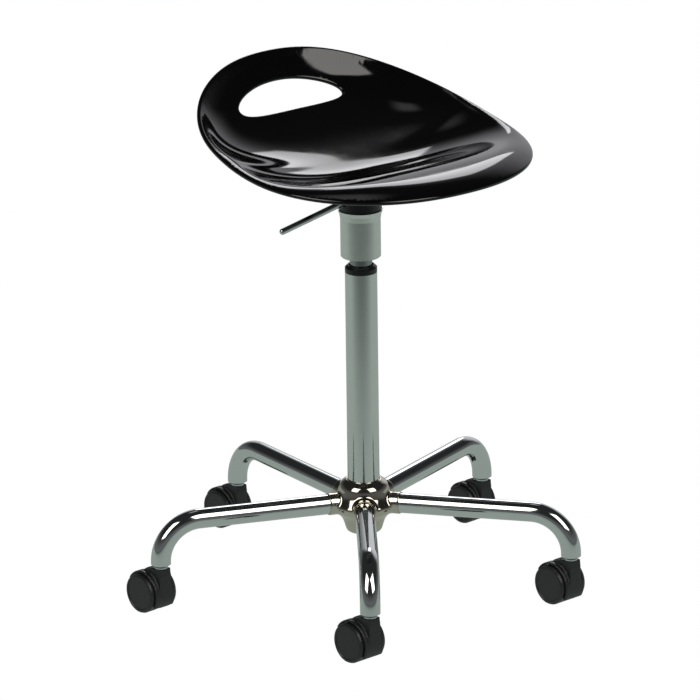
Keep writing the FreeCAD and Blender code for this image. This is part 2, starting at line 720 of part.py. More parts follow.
def isHoodInner(edge):
    """True for the arcs that border the wheel space."""
    middle = Vector(-z.caster_trail.value, 0, axleHeight.value)
    ends = [v.Point - middle for v in edge.Vertexes]
    return all(math.hypot(e.x, e.z) < hoodInner.value + hair for e in ends)


axleHeight = wheelRadius
hoodInner = wheelRadius + z.hood_clearance
hoodOuter = hoodInner + z.hood_wall
bossHalf = z.fork_boss / 2
crownFront = z.stem_diameter / 2 + z.crown_wall
hoodTop = z.leg_end_height - z.stem_gap
neckTop = hoodTop - z.stem_bearing
stemRadius = z.stem_diameter / 2
stemNeck = z.stem_neck / 2
webHalf = z.wheel_gap / 2 - z.fork_clearance
axleRadius = z.axle_diameter / 2
rearAngle = z.hood_rear_angle
far = z.wheel_diameter * blockShare


def swivelled(angle, inner=None):
    """Placement of a caster part drawn with its stem on Z and its travel along +X."""
    stem = Vector(z.base_radius.value * math.cos(math.radians(angle)),
                  z.base_radius.value * math.sin(math.radians(angle)), 0)
    outer = Placement(stem, Rotation(Vector(0, 0, 1), z.caster_heading.value))
    return outer.multiply(inner) if inner is not None else outer


for k, angle in enumerate(legAngles):
    tag = "_%d" % (k + 1)
    fork = newBody("caster_fork" + tag, swivelled(angle))
    ring = newSketch(fork, "fork_ring" + tag, "XZ_Plane")
    drawCircle(ring, hoodOuter, (-z.caster_trail, axleHeight))
    pad(fork, ring, z.hood_width, True)
    crown = newSketch(fork, "fork_crown" + tag, "XZ_Plane")
    drawPolygon(crown, [
        (-bossHalf, hoodTop), (crownFront, hoodTop), (crownFront + z.crown_bulge, hoodTop - z.crown_drop),
        (crownFront + z.crown_bulge, hoodTop - z.crown_drop * 2), (hoodOuter - z.caster_trail, axleHeight),
        (-z.caster_trail, axleHeight),
        (-z.caster_trail - hoodOuter * sinOf(z.hood_front_angle),
         axleHeight + hoodOuter * cosOf(z.hood_front_angle))])
    pad(fork, crown, z.fork_boss, True)
    well = newSketch(fork, "fork_well" + tag, "XZ_Plane")
    drawCircle(well, hoodInner, (-z.caster_trail, axleHeight))
    pocket(fork, well)
    mouth = newSketch(fork, "fork_mouth" + tag, "XZ_Plane")
    drawPolygon(mouth, [
        (-z.caster_trail, axleHeight),
        (-z.caster_trail + far * cosOf(rearAngle), axleHeight + far * sinOf(rearAngle)),
        (-z.caster_trail - far, -far), (-z.caster_trail + far, -far),
        (-z.caster_trail + far * cosOf(z.hood_front_angle), axleHeight - far * sinOf(z.hood_front_angle))])
    pocket(fork, mouth)
    split = newSketch(fork, "fork_split" + tag, "XZ_Plane")
    drawPolygon(split, [
        (-bossHalf, axleHeight), (-bossHalf, hoodTop + z.stem_gap),
        (-far, hoodTop + z.stem_gap), (-far, axleHeight)])
    pocket(fork, split, webHalf * 2, True)
    roundOff(fork, z.hood_edge, lambda e: (
        abs(abs(e.CenterOfMass.y) - z.hood_width.value / 2) < hair
        and math.hypot(e.CenterOfMass.x + z.caster_trail.value,
                       e.CenterOfMass.z - axleHeight.value) > hoodInner.value * blendShare
        and not isHoodInner(e)))
    web = newSketch(fork, "fork_web" + tag, "XZ_Plane")
    drawPolygon(web, [
        (-z.caster_trail - axleRadius * webSpan, axleHeight + axleRadius * webRise),
        (-z.caster_trail - axleRadius * webSpan, axleHeight - axleRadius * webSpan),
        (-z.caster_trail + axleRadius * webSpan, axleHeight - axleRadius * webSpan),
        (bossHalf - z.hood_edge, axleHeight - axleRadius), (bossHalf - z.hood_edge, hoodTop - z.crown_drop),
        (0, hoodTop - z.hood_edge),
        (-bossHalf, hoodTop - z.hood_edge)])
    pad(fork, web, webHalf * 2, True)
    upper = newSketch(fork, "fork_upper_bore" + tag, "XY_Plane", hoodTop)
    drawCircle(upper, stemRadius + z.running)
    pocket(fork, upper, z.stem_bearing)
    lower = newSketch(fork, "fork_lower_bore" + tag, "XY_Plane", hoodTop)
    drawCircle(lower, stemNeck + z.running)
    pocket(fork, lower, z.stem_bearing + z.stem_tail + z.play)
    axleBore = newSketch(fork, "fork_axle_bore" + tag, "XZ_Plane")
    drawCircle(axleBore, axleRadius + z.slip, (-z.caster_trail, axleHeight))
    pocket(fork, axleBore)

    stem = turned("caster_stem" + tag, [
        (0, neckTop - z.stem_tail), (stemNeck, neckTop - z.stem_tail), (stemNeck, neckTop + z.running),
        (stemRadius, neckTop + z.running), (stemRadius, hoodTop + z.play),
        (z.stem_shoulder / 2, hoodTop + z.play), (z.stem_shoulder / 2, hoodTop + z.play + z.stem_shoulder_height),
        (stemRadius, hoodTop + z.play + z.stem_shoulder_height),
        (stemRadius, z.leg_end_height + z.stem_depth), (0, z.leg_end_height + z.stem_depth)],
        swivelled(angle))
    plugOuter = legRadius - z.leg_wall - z.slip
    plug = turned("leg_plug" + tag, [
        (stemRadius, z.leg_end_height), (plugOuter, z.leg_end_height),
        (plugOuter, z.leg_end_height + z.plug_skirt), (stemRadius + z.plug_wall, z.leg_end_height + z.plug_skirt),
        (stemRadius + z.plug_wall, z.leg_end_height + z.plug_height), (stemRadius, z.leg_end_height + z.plug_height)],
        swivelled(angle))
    axlePlace = Placement(Vector(-z.caster_trail.value, 0, axleHeight.value), Rotation())
    halfAxle = z.wheel_gap / 2 + z.axle_depth
    axle = turned("caster_axle" + tag, [(0, -halfAxle), (axleRadius, -halfAxle), (axleRadius, halfAxle),
                                        (0, halfAxle)],
                  swivelled(angle, axlePlace.multiply(Placement(Vector(), Rotation(Vector(1, 0, 0), -90)))))
    pieces += [fork, stem, plug, axle]
    for side, lean in (("left", -90), ("right", 90)):
        bore = axleRadius + z.running
        rimIn = wheelRadius - z.wheel_rim
        width = z.wheel_width
        near = z.wheel_gap / 2
        wheel = turned("caster_wheel_%s%s" % (side, tag), [
            (0, near + z.axle_depth + z.play), (bore, near + z.axle_depth + z.play), (bore, near),
            (z.wheel_boss / 2, near), (z.wheel_boss / 2, near + width - z.wheel_web),
            (rimIn, near + width - z.wheel_web), (rimIn, near + z.wheel_edge / 2),
            (rimIn + z.wheel_edge / 2, near), (wheelRadius - z.wheel_edge, near),
            (wheelRadius, near + z.wheel_edge), (wheelRadius, near + width - z.wheel_round),
            (wheelRadius - z.wheel_shave, near + width - z.wheel_shave),
            (wheelRadius - z.wheel_round, near + width), (rimIn, near + width),
            (rimIn - z.wheel_dish, near + width - z.wheel_dish), (0, near + width - z.wheel_dish)],
            swivelled(angle, axlePlace.multiply(Placement(Vector(), Rotation(Vector(1, 0, 0), lean)))))
        pieces.append(wheel)

# ---------------------------------------------------------------- write

doc.recompute()
for item in doc.Objects:
    if "Invalid" in item.State or "Error" in item.State:
        raise ValueError("feature failed: %s %s" % (item.Name, item.State))
for item in pieces:
    shape = item.Shape
    if shape.isNull() or not shape.isValid():
        raise ValueError("bad shape: " + item.Label)
for item in pieces:
    box = item.Shape.BoundBox
    print("%-22s solids %d volume %9.0f  x %.1f %.1f  y %.1f %.1f  z %.1f %.1f" % (
        item.Label, len(item.Shape.Solids), item.Shape.Volume, box.XMin, box.XMax, box.YMin, box.YMax,
        box.ZMin, box.ZMax))
    item.Shape.exportStep("parts/%s.step" % item.Label)
print("%d nodes" % len(pieces))
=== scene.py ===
import math

import bmesh
import bpy
from mathutils import Euler, Matrix, Vector
from mathutils.geometry import delaunay_2d_cdt


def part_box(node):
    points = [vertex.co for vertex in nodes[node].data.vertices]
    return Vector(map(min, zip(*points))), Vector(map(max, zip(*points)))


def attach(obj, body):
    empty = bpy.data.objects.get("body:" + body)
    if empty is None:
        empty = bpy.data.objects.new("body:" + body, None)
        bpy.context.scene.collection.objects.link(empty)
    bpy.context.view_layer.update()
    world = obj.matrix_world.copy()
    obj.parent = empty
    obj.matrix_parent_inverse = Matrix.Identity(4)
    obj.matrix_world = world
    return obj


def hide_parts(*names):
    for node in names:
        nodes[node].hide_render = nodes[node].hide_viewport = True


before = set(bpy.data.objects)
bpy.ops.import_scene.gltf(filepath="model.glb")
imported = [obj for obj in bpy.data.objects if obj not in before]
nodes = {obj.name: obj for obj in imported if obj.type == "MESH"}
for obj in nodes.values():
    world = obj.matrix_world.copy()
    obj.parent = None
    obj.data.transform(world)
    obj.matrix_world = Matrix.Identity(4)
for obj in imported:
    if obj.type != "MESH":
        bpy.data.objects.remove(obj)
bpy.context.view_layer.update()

casterCount = 5
print("frame loaded:", len(nodes), "nodes")


def linear(hexColour):
    parts = [int(hexColour[i:i + 2], 16) / 255 for i in (1, 3, 5)]
    parts = [p / 12.92 if p <= 0.04045 else ((p + 0.055) / 1.055) ** 2.4 for p in parts]
    return (*parts, 1.0)


def addNode(tree, kind, links=None, **settings):
    node = tree.nodes.new("ShaderNode" + kind)
    for name, value in settings.items():
        setattr(node, name, value)
    for socket, source in (links or {}).items():
        if isinstance(source, bpy.types.NodeSocket):
            tree.links.new(source, node.inputs[socket])
        else:
            node.inputs[socket].default_value = source
    return node


# each finish: two hex colours it drifts between, and how large its patches, its rubbed areas and
# its unevenness are, all in millimetres; depth is how deep the unevenness goes
finishPlans = {
    # injection moulded in a mirror-polished tool: near black, sharp reflections that waver slightly
    "polishedAbs": {"metallic": 0.0, "ior": 1.54, "dark": "#050506", "light": "#08080a", "patch": 40,
                    "rub": 18, "smoothest": 0.04, "roughest": 0.085, "grain": 26, "fine": 1, "depth": 0.02},
    # bright chrome on drawn steel tube: neutral mirror with faint waves from the drawing
    "chromePlatedTube": {"metallic": 1.0, "dark": "#cdd1d0", "light": "#d8dbda", "patch": 60,
                         "rub": 9, "smoothest": 0.05, "roughest": 0.1, "grain": 14, "fine": 2,
                         "depth": 0.012},
    # the same plate on the ground column: a little softer, because seats are raised along it for years
    "chromePlatedColumn": {"metallic": 1.0, "dark": "#d3d7d5", "light": "#dfe2e0", "patch": 50,
                           "rub": 5, "smoothest": 0.1, "roughest": 0.17, "grain": 8, "fine": 3,
                           "depth": 0.01},
    # chrome straight on a polished zinc casting: warmer, with soft ripples the polishing left
    "chromePlatedCasting": {"metallic": 1.0, "dark": "#bdb6a6", "light": "#cdc8bc", "patch": 25,
                            "rub": 6, "smoothest": 0.05, "roughest": 0.11, "grain": 10, "fine": 2,
                            "depth": 0.06},
    # die-cast aluminium, tumbled: grey and dull, with blurred broad reflections
    "satinAluminium": {"metallic": 1.0, "dark": "#d6dbd7", "light": "#e8ece9", "patch": 22,
                       "rub": 1.2, "smoothest": 0.28, "roughest": 0.4, "grain": 0.8, "fine": 4,
                       "depth": 0.02},
    # centreless-ground steel: mid grey, fine rings round the bar, drawn coarser than real to show
    "groundSteel": {"metallic": 1.0, "dark": "#8d9191", "light": "#9b9e9f", "patch": 15,
                    "rub": 2, "smoothest": 0.14, "roughest": 0.26, "grain": 2, "fine": 2, "depth": 0.004,
                    "rings": 0.9, "ringDepth": 0.006},
    # zinc electroplate: bluish silver, cloudy
    "brightZinc": {"metallic": 1.0, "dark": "#b9bdc2", "light": "#cdd1d6", "patch": 5,
                   "rub": 2, "smoothest": 0.2, "roughest": 0.36, "grain": 1.5, "fine": 4, "depth": 0.02},
    # nylon moulded in a lightly etched tool: black with a low broad sheen and a fine pebble
    "mouldedNylon": {"metallic": 0.0, "ior": 1.53, "dark": "#121315", "light": "#1a1b1e", "patch": 12,
                     "rub": 3, "smoothest": 0.34, "roughest": 0.48, "grain": 0.5, "fine": 3, "depth": 0.015},
    # acetal: black, waxy and smoother than the nylon
    "mouldedAcetal": {"metallic": 0.0, "ior": 1.48, "dark": "#0d0e0f", "light": "#151617", "patch": 10,
                      "rub": 3, "smoothest": 0.25, "roughest": 0.38, "grain": 0.9, "fine": 3, "depth": 0.01},
    # polyester powder baked on pressed steel: black, half gloss, slight orange peel
    "blackPowderCoat": {"metallic": 0.0, "ior": 1.5, "dark": "#090a0a", "light": "#101111", "patch": 15,
                        "rub": 4, "smoothest": 0.25, "roughest": 0.4, "grain": 1.6, "fine": 2, "depth": 0.04},
    # brass turned on a lathe: yellow, with rings from the tool
    "turnedBrass": {"metallic": 1.0, "dark": "#b08f4e", "light": "#c9a862", "patch": 5,
                    "rub": 1, "smoothest": 0.22, "roughest": 0.35, "grain": 1, "fine": 4, "depth": 0.004,
                    "rings": 0.4, "ringDepth": 0.01},
    # natural rubber, moulded: dull black with a bloom
    "mouldedRubber": {"metallic": 0.0, "ior": 1.52, "dark": "#101010", "light": "#191919", "patch": 6,
                      "rub": 1, "smoothest": 0.6, "roughest": 0.8, "grain": 0.6, "fine": 3, "depth": 0.02},
}


def makeFinish(name, plan):
    material = bpy.data.materials.new(name)
    material.use_nodes = True
    tree = material.node_tree
    shader = tree.nodes["Principled BSDF"]
    shader.inputs["Metallic"].default_value = plan["metallic"]
    if "ior" in plan:
        shader.inputs["IOR"].default_value = plan["ior"]
    place = addNode(tree, "TexCoord").outputs["Object"]
    # noise of scale 1000 has patches about a millimetre across
    patches, rubs, grain = [
        addNode(tree, "TexNoise", {"Vector": place, "Scale": 1000 / plan[size],
                                   "Detail": detail}).outputs["Fac"]
        for size, detail in (("patch", 3), ("rub", 5), ("grain", plan["fine"]))]
    colour = addNode(tree, "Mix", {"Factor": patches}, data_type="RGBA")
    colour.inputs[6].default_value = linear(plan["dark"])
    colour.inputs[7].default_value = linear(plan["light"])
    tree.links.new(colour.outputs[2], shader.inputs["Base Color"])
    rough = addNode(tree, "MapRange", {"Value": rubs, "From Min": 0.3, "From Max": 0.7,
                                       "To Min": plan["smoothest"], "To Max": plan["roughest"]})
    tree.links.new(rough.outputs["Result"], shader.inputs["Roughness"])
    bump = addNode(tree, "Bump", {"Height": grain, "Distance": plan["depth"] / 1000, "Strength": 1.0})
    if "rings" in plan:
        rings = addNode(tree, "TexWave", {"Vector": place, "Scale": 1000 / plan["rings"] / (2 * math.pi),
                                          "Distortion": 0.6}, bands_direction="Z")
        bump = addNode(tree, "Bump", {"Height": rings.outputs["Fac"], "Distance": plan["ringDepth"] / 1000,
                                      "Normal": bump.outputs["Normal"]})
    tree.links.new(bump.outputs["Normal"], shader.inputs["Normal"])
    return material


finishes = {name: makeFinish(name, plan) for name, plan in finishPlans.items()}
finishOf = {
    "seat_shell": "polishedAbs", "hub": "chromePlatedCasting", "column_tube": "chromePlatedColumn",
    "release_lever": "chromePlatedTube", "collar": "satinAluminium", "guide_bush": "mouldedAcetal",
    "mounting_plate": "blackPowderCoat", "lever_housing": "blackPowderCoat", "plate_screws": "brightZinc",
    "seat_inserts": "turnedBrass", "bump_stop": "mouldedRubber",
}
for number in range(1, casterCount + 1):
    finishOf[f"leg_{number}"] = "chromePlatedTube"
    finishOf[f"caster_stem_{number}"] = "brightZinc"
    finishOf[f"leg_plug_{number}"] = "groundSteel"
    finishOf[f"caster_fork_{number}"] = "mouldedNylon"
    finishOf[f"caster_wheel_left_{number}"] = "mouldedNylon"
    finishOf[f"caster_wheel_right_{number}"] = "mouldedNylon"


def coat(obj, finish):
    if not obj.data.materials:
        obj.data.materials.append(finishes[finish])
    for slot in obj.material_slots:
        slot.material = finishes[finish]


for name, obj in nodes.items():
    coat(obj, finishOf.get(name, "groundSteel"))
print("finishes on", len(nodes), "nodes")

seatSizes = {
    # outline: width, how far it reaches to the front and back of the column, and where it is widest
    "width": 0.391, "front": 0.212, "back": 0.190, "widest": 0.020, "squareness": 2.23,
    # side view: the rim's height at the front, how much it rises and how much of that is a straight tilt
    "rimHeight": 0.5665, "rise": 0.094, "tilt": 0.15, "curl": 3,
    # bowl: its depth, where it starts and how quickly it grows, and how steep its walls get to the back
    "bowl": 0.037, "bowlEntry": 0.160, "bowlPower": 2.6, "bowlSteepness": 13,
    "wallStart": 0.010, "wallLength": 0.165,
    # rolled edge: how far it drops, and how wide it is as a share of the seat, more at the front
    "lip": 0.005, "waterfall": 0.006, "rollStart": 0.030, "rollLength": 0.140,
    "rollWidth": 0.07, "rollGrowth": 0.16, "wall": 0.006,
    # hand hole
    "gripWidth": 0.155, "gripFront": 0.128, "gripBack": 0.167, "gripPower": 0.9, "gripTaper": 0.1,
    "gripBend": 1.3, "gripPoints": 120, "gripSpacing": 0.6,
    # mesh: distance between points, steps round the edge, and how near the edge loose points may lie
    "spacing": 0.0042, "edgeSteps": 7, "rowShare": 0.866, "left": -0.210, "near": -0.225,
    "across": 0.42, "along": 0.45, "clearance": 0.8, "inner": 0.9,
    # the bosses' radius, their distance apart and their edges' rounding
    "bossRadius": 0.009, "bossPitch": 0.094, "bossRound": 0.0012, "bossVertices": 48, "bossCrease": 50,
}


# smooth step from 0 to 1
def ease(amount):
    held = min(max(amount, 0.0), 1.0)
    return held * held * (3 - 2 * held)


def seatShare(x, y):
    # 0 in the middle, 1 on the outline
    s = seatSizes
    along = y + s["widest"]
    length = s["back"] + s["widest"] if along > 0 else s["front"] - s["widest"]
    total = abs(2 * x / s["width"]) ** s["squareness"] + abs(along / length) ** s["squareness"]
    return total ** (1 / s["squareness"])


def seatTop(x, y):
    s = seatSizes
    share = seatShare(x, y)
    run = max((y + s["front"]) / (s["front"] + s["back"]), 0.0)
    rim = s["rimHeight"] + s["rise"] * (s["tilt"] * run + (1 - s["tilt"]) * run ** s["curl"])
    deep = s["bowl"] * ease((y + s["bowlEntry"]) / s["bowlEntry"])
    power = s["bowlPower"] + s["bowlSteepness"] * ease((y - s["wallStart"]) / s["wallLength"])
    bowl = 1 - share ** power if share < 1 else -power * (share - 1)
    frontness = ease((-y - s["rollStart"]) / s["rollLength"])
    rollWidth = s["rollWidth"] + s["rollGrowth"] * frontness
    lip = max((share - 1 + rollWidth) / rollWidth, 0.0)
    lip = lip * lip if lip < 1 else 1 + 2 * (lip - 1)
    return rim - deep * bowl + (s["lip"] + s["waterfall"] * frontness) * (1 - lip)


def seatNormal(x, y, step=0.0005):
    across = (seatTop(x + step, y) - seatTop(x - step, y)) / (2 * step)
    along = (seatTop(x, y + step) - seatTop(x, y - step)) / (2 * step)
    return Vector((-across, -along, 1)).normalized()


def seatLoop(inset, count=150):
    s = seatSizes
    power = 2 / s["squareness"]
    points = []
    for k in range(count):
        turn = 2 * math.pi * k / count
        across = abs(math.cos(turn)) ** power * math.copysign(1, math.cos(turn))
        along = abs(math.sin(turn)) ** power * math.copysign(1, math.sin(turn))
        length = s["back"] + s["widest"] if along > 0 else s["front"] - s["widest"]
        points.append(Vector((s["width"] / 2 * across, length * along - s["widest"])))
    return insetLoop(evenly(points, s["spacing"]), inset)


def gripLoop(inset):
    s = seatSizes
    middle, half = (s["gripFront"] + s["gripBack"]) / 2, (s["gripBack"] - s["gripFront"]) / 2
    points = []
    for k in range(s["gripPoints"]):
        turn = 2 * math.pi * k / s["gripPoints"]
        along = math.sin(turn)
        across = math.copysign(abs(math.cos(turn)) ** s["gripPower"], math.cos(turn))
        x = s["gripWidth"] / 2 * across * (1 - s["gripTaper"] * along)
        points.append(Vector((x, middle + half * along - s["gripBend"] * x * x)))
    return insetLoop(evenly(points, s["spacing"] * s["gripSpacing"]), -inset)


def evenly(points, spacing):
    # the same closed line, with points an even distance apart
    closed = points + [points[0]]
    lengths = [0.0]
    for a, b in zip(closed, closed[1:]):
        lengths.append(lengths[-1] + (b - a).length)
    count = round(lengths[-1] / spacing)
    result, i = [], 0
    for k in range(count):
        target = lengths[-1] * k / count
        while lengths[i + 1] < target:
            i += 1
        part = (target - lengths[i]) / (lengths[i + 1] - lengths[i])
        result.append(closed[i].lerp(closed[i + 1], part))
    return result


def insetLoop(points, inset):
    # the same line moved sideways, inwards for a loop that turns to the left
    result = []
    for k, point in enumerate(points):
        along = (points[(k + 1) % len(points)] - points[k - 1]).normalized()
        result.append(point + Vector((-along.y, along.x)) * inset)
    return result


def buildSeat():
    s = seatSizes
    half = s["wall"] / 2
    outer, inner = seatLoop(half), gripLoop(half)
    points = list(outer) + list(inner)
    edges = []
    for start, loop in ((0, outer), (len(outer), inner)):
        edges += [(start + k, start + (k + 1) % len(loop)) for k in range(len(loop))]
    gap = s["spacing"]
    # loose points in staggered rows, kept off the outline
    for row in range(int(s["along"] / (gap * s["rowShare"]))):
        y = s["near"] + row * gap * s["rowShare"]
        for column in range(int(s["across"] / gap)):
            x = s["left"] + (column + 0.5 * (row % 2)) * gap
            if seatShare(x, y) < 1:
                p = Vector((x, y))
                roomy = min((p - q).length for q in outer[::2]) > gap * s["clearance"]
                if roomy or seatShare(x, y) < s["inner"]:
                    points.append(p)
    kept, _, faces, sources, _, _ = delaunay_2d_cdt(points, edges, [], 1, 1e-7)
    origin = {}
    for k, source in enumerate(sources):
        for i in source:
            origin[i] = k
    mesh = bpy.data.meshes.new("seatShell")
    made = bmesh.new()
    top, under = [], []
    for p in kept:
        normal = seatNormal(p.x, p.y)
        place = Vector((p.x, p.y, seatTop(p.x, p.y)))
        top.append(made.verts.new(place))
        under.append(made.verts.new(place - normal * s["wall"]))
    hole = [kept[origin[len(outer) + k]] for k in range(len(inner))]
    for face in faces:
        middle = sum((kept[i] for i in face), Vector((0, 0))) / len(face)
        if seatShare(middle.x, middle.y) > 1 or insideLoop(middle, hole):
            continue
        made.faces.new([top[i] for i in face])
        made.faces.new([under[i] for i in reversed(face)])
    for start, loop, way in ((0, outer, 1), (len(outer), inner, -1)):
        indices = [origin[start + k] for k in range(len(loop))]
        rings = [[top[i] for i in indices]]
        for step in range(1, s["edgeSteps"]):
            turn = math.pi * step / s["edgeSteps"]
            ring = []
            for k, i in enumerate(indices):
                a, b = kept[indices[k - 1]], kept[indices[(k + 1) % len(indices)]]
                along = Vector((b.x - a.x, b.y - a.y, seatTop(b.x, b.y) - seatTop(a.x, a.y)))
                normal = seatNormal(kept[i].x, kept[i].y)
                out = along.cross(normal).normalized() * way
                middle = top[i].co - normal * half
                raised = middle + normal * half * math.cos(turn)
                ring.append(made.verts.new(raised + out * half * math.sin(turn)))
            rings.append(ring)
        rings.append([under[i] for i in indices])
        for upper, lower in zip(rings, rings[1:]):
            for k in range(len(indices)):
                n = (k + 1) % len(indices)
                corners = [upper[k], lower[k], lower[n], upper[n]]
                made.faces.new(corners if way > 0 else corners[::-1])
    made.normal_update()
    made.to_mesh(mesh)
    made.free()
    for polygon in mesh.polygons:
        polygon.use_smooth = True
    seat = bpy.data.objects.new("seatShell", mesh)
    bpy.context.scene.collection.objects.link(seat)
    seat.data.materials.append(finishes["polishedAbs"])
    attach(seat, "seat")
    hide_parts("seat_shell")
    return seat


def insideLoop(point, loop):
    # counts how often a line from the point crosses the loop
    inside = False
    for a, b in zip(loop, loop[1:] + loop[:1]):
        if (a.y > point.y) != (b.y > point.y):
            if point.x < (b.x - a.x) * (point.y - a.y) / (b.y - a.y) + a.x:
                inside = not inside
    return inside


def addBosses(shell):
    # four round bosses under the shell stand on the mounting plate
    s = seatSizes
    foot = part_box("mounting_plate")[1][2]
    half = s["bossPitch"] / 2
    bosses = []
    for x, y in ((-half, -half), (half, -half), (half, half), (-half, half)):
        top = seatTop(x, y) - s["wall"] / 2
        bpy.ops.object.select_all(action="DESELECT")
        bpy.ops.mesh.primitive_cylinder_add(vertices=s["bossVertices"], radius=s["bossRadius"],
                                            depth=top - foot, location=(x, y, (top + foot) / 2))
        boss = bpy.context.active_object
        bpy.ops.object.transform_apply(location=True)
        rounding = boss.modifiers.new("rounding", "BEVEL")
        rounding.width = s["bossRound"]
        rounding.segments = 3
        bpy.ops.object.modifier_apply(modifier=rounding.name)
        bpy.ops.object.shade_smooth_by_angle(angle=math.radians(s["bossCrease"]))
        boss.data.materials.append(finishes["polishedAbs"])
        bosses.append(boss)
    bpy.ops.object.select_all(action="DESELECT")
    for piece in bosses + [shell]:
        piece.select_set(True)
    bpy.context.view_layer.objects.active = shell
    bpy.ops.object.join()


seat = buildSeat()
addBosses(seat)
print("seat shell:", len(seat.data.polygons), "faces")

hubShape = {
    "voxel": 0.0011, "rounds": 24,
    # radius and height of the dome and skirt that the sockets grow out of, in millimetres
    "profile": [(20.6, 142), (25, 141.2), (28.6, 138.5), (31, 134.5), (32.2, 129.5), (33.8, 124), (37, 118.5),
                (41, 113), (41.5, 107.5), (37.5, 102.5), (31, 97), (26.8, 91), (24.5, 84), (22.5, 77),
                (20.6, 75)],
    "vertices": 96,
}


def mouldedCopy(node, name, voxel, rounds, finish, body, fillers=()):
    # a cast or moulded skin over a CAD piece: remeshed, its edges and webs softened
    bpy.ops.object.select_all(action="DESELECT")
    piece = nodes[node].copy()
    piece.data = nodes[node].data.copy()
    piece.name = piece.data.name = name
    bpy.context.scene.collection.objects.link(piece)
    piece.parent = None
    piece.matrix_world = Matrix.Identity(4)
    for filler in fillers:
        filler.select_set(True)
    piece.select_set(True)
    bpy.context.view_layer.objects.active = piece
    if fillers:
        bpy.ops.object.join()
    remesh = piece.modifiers.new("skin", "REMESH")
    remesh.mode = "VOXEL"
    remesh.voxel_size = voxel
    bpy.ops.object.modifier_apply(modifier=remesh.name)
    soften = piece.modifiers.new("soften", "SMOOTH")
    soften.factor = 0.5
    soften.iterations = rounds
    bpy.ops.object.modifier_apply(modifier=soften.name)
    bpy.ops.object.shade_smooth()
    piece.data.materials.clear()
    piece.data.materials.append(finishes[finish])
    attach(piece, body)
    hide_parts(node)
    return piece


def hubDome():
    # drawn as one ring, extruded and scaled down the profile, then closed along the column
    bpy.ops.object.select_all(action="DESELECT")
    rings = [(radius / 1000, height / 1000) for radius, height in hubShape["profile"]]
    bpy.ops.mesh.primitive_circle_add(vertices=hubShape["vertices"], radius=rings[0][0], fill_type="NOTHING",
                                      location=(0, 0, rings[0][1]))
    dome = bpy.context.active_object
    bpy.ops.object.transform_apply(location=True)
    bpy.ops.object.mode_set(mode="EDIT")
    for (radius, height), (nextRadius, nextHeight) in zip(rings, rings[1:]):
        bpy.ops.mesh.extrude_region_move(TRANSFORM_OT_translate={"value": (0, 0, nextHeight - height)})
        share = nextRadius / radius
        bpy.ops.transform.resize(value=(share, share, 1), center_override=(0, 0, 0))
    bpy.ops.mesh.select_all(action="DESELECT")
    bpy.ops.mesh.select_non_manifold()
    bpy.ops.mesh.bridge_edge_loops()
    bpy.ops.mesh.select_all(action="SELECT")
    bpy.ops.mesh.normals_make_consistent(inside=False)
    bpy.ops.object.mode_set(mode="OBJECT")
    return dome


hub = mouldedCopy("hub", "hubCasting", hubShape["voxel"], hubShape["rounds"], "chromePlatedCasting",
                  "base", [hubDome()])
print("hub:", len(hub.data.polygons), "faces")

hoodShape = {"voxel": 0.0007, "rounds": 6}
for number in range(1, casterCount + 1):
    hood = mouldedCopy(f"caster_fork_{number}", f"casterHood{number}", hoodShape["voxel"],
                       hoodShape["rounds"], "mouldedNylon", f"caster_{number}")
print("hoods:", len(hood.data.polygons), "faces each")

studio = {
    "heading": 37.3,          # the camera looks along +Y turned this far towards +X, degrees
    "cameraDistance": 7.218, "cameraHeight": 2.739,
    "lookRight": -0.118, "lookDown": 18.59, "roll": -0.75, "lens": 316.33,
    "sensor": 36, "clip": 200, "facing": 0.05,                         # facing: nearest a light's own side
    "floorSize": 60.0, "floorDrop": 0.0006,                            # a hair below the wheels
    # the floor as the chrome sees it: painted light, a glow with painted shade dimmer towards the camera,
    # between these places
    "floorColour": "#a6b0aa", "dimPlace": -1.6, "brightPlace": -0.1, "dimShare": 0.3,
    "roomColour": "#e4e6ea", "roomLow": 0.2, "roomHigh": 0.032,        # dim room, at the horizon and above
}
# soft lights far off: azimuth 0 is the camera's own side, 90 its right, 180 straight behind the stool
softLights = {
    "backBox": {"azimuth": 176.2, "elevation": 28.2, "width": 12.5, "height": 16, "edge": 0.5, "glow": 3.3,
                "colour": "#f4f4f6"},
    "backPaper": {"azimuth": 168, "elevation": 16, "width": 50, "height": 34, "edge": 11, "glow": 0.7,
                  "colour": "#efeff4"},
    "highBack": {"azimuth": 183, "elevation": 63, "width": 12, "height": 12, "edge": 4, "glow": 0.5,
                 "colour": "#f4f4f6"},
    "frontRight": {"azimuth": 46, "elevation": 42, "width": 28, "height": 36, "edge": 1.5, "glow": 3.4,
                   "colour": "#fffdf8"},
    "frontLeft": {"azimuth": -46, "elevation": 42, "width": 28, "height": 36, "edge": 1.5, "glow": 3.4,
                  "colour": "#fffdf8"},
}


def towards(azimuth, elevation):
    turn, up = math.radians(azimuth - studio["heading"]), math.radians(elevation)
    return Vector((math.sin(turn) * math.cos(up), -math.cos(turn) * math.cos(up), math.sin(up)))


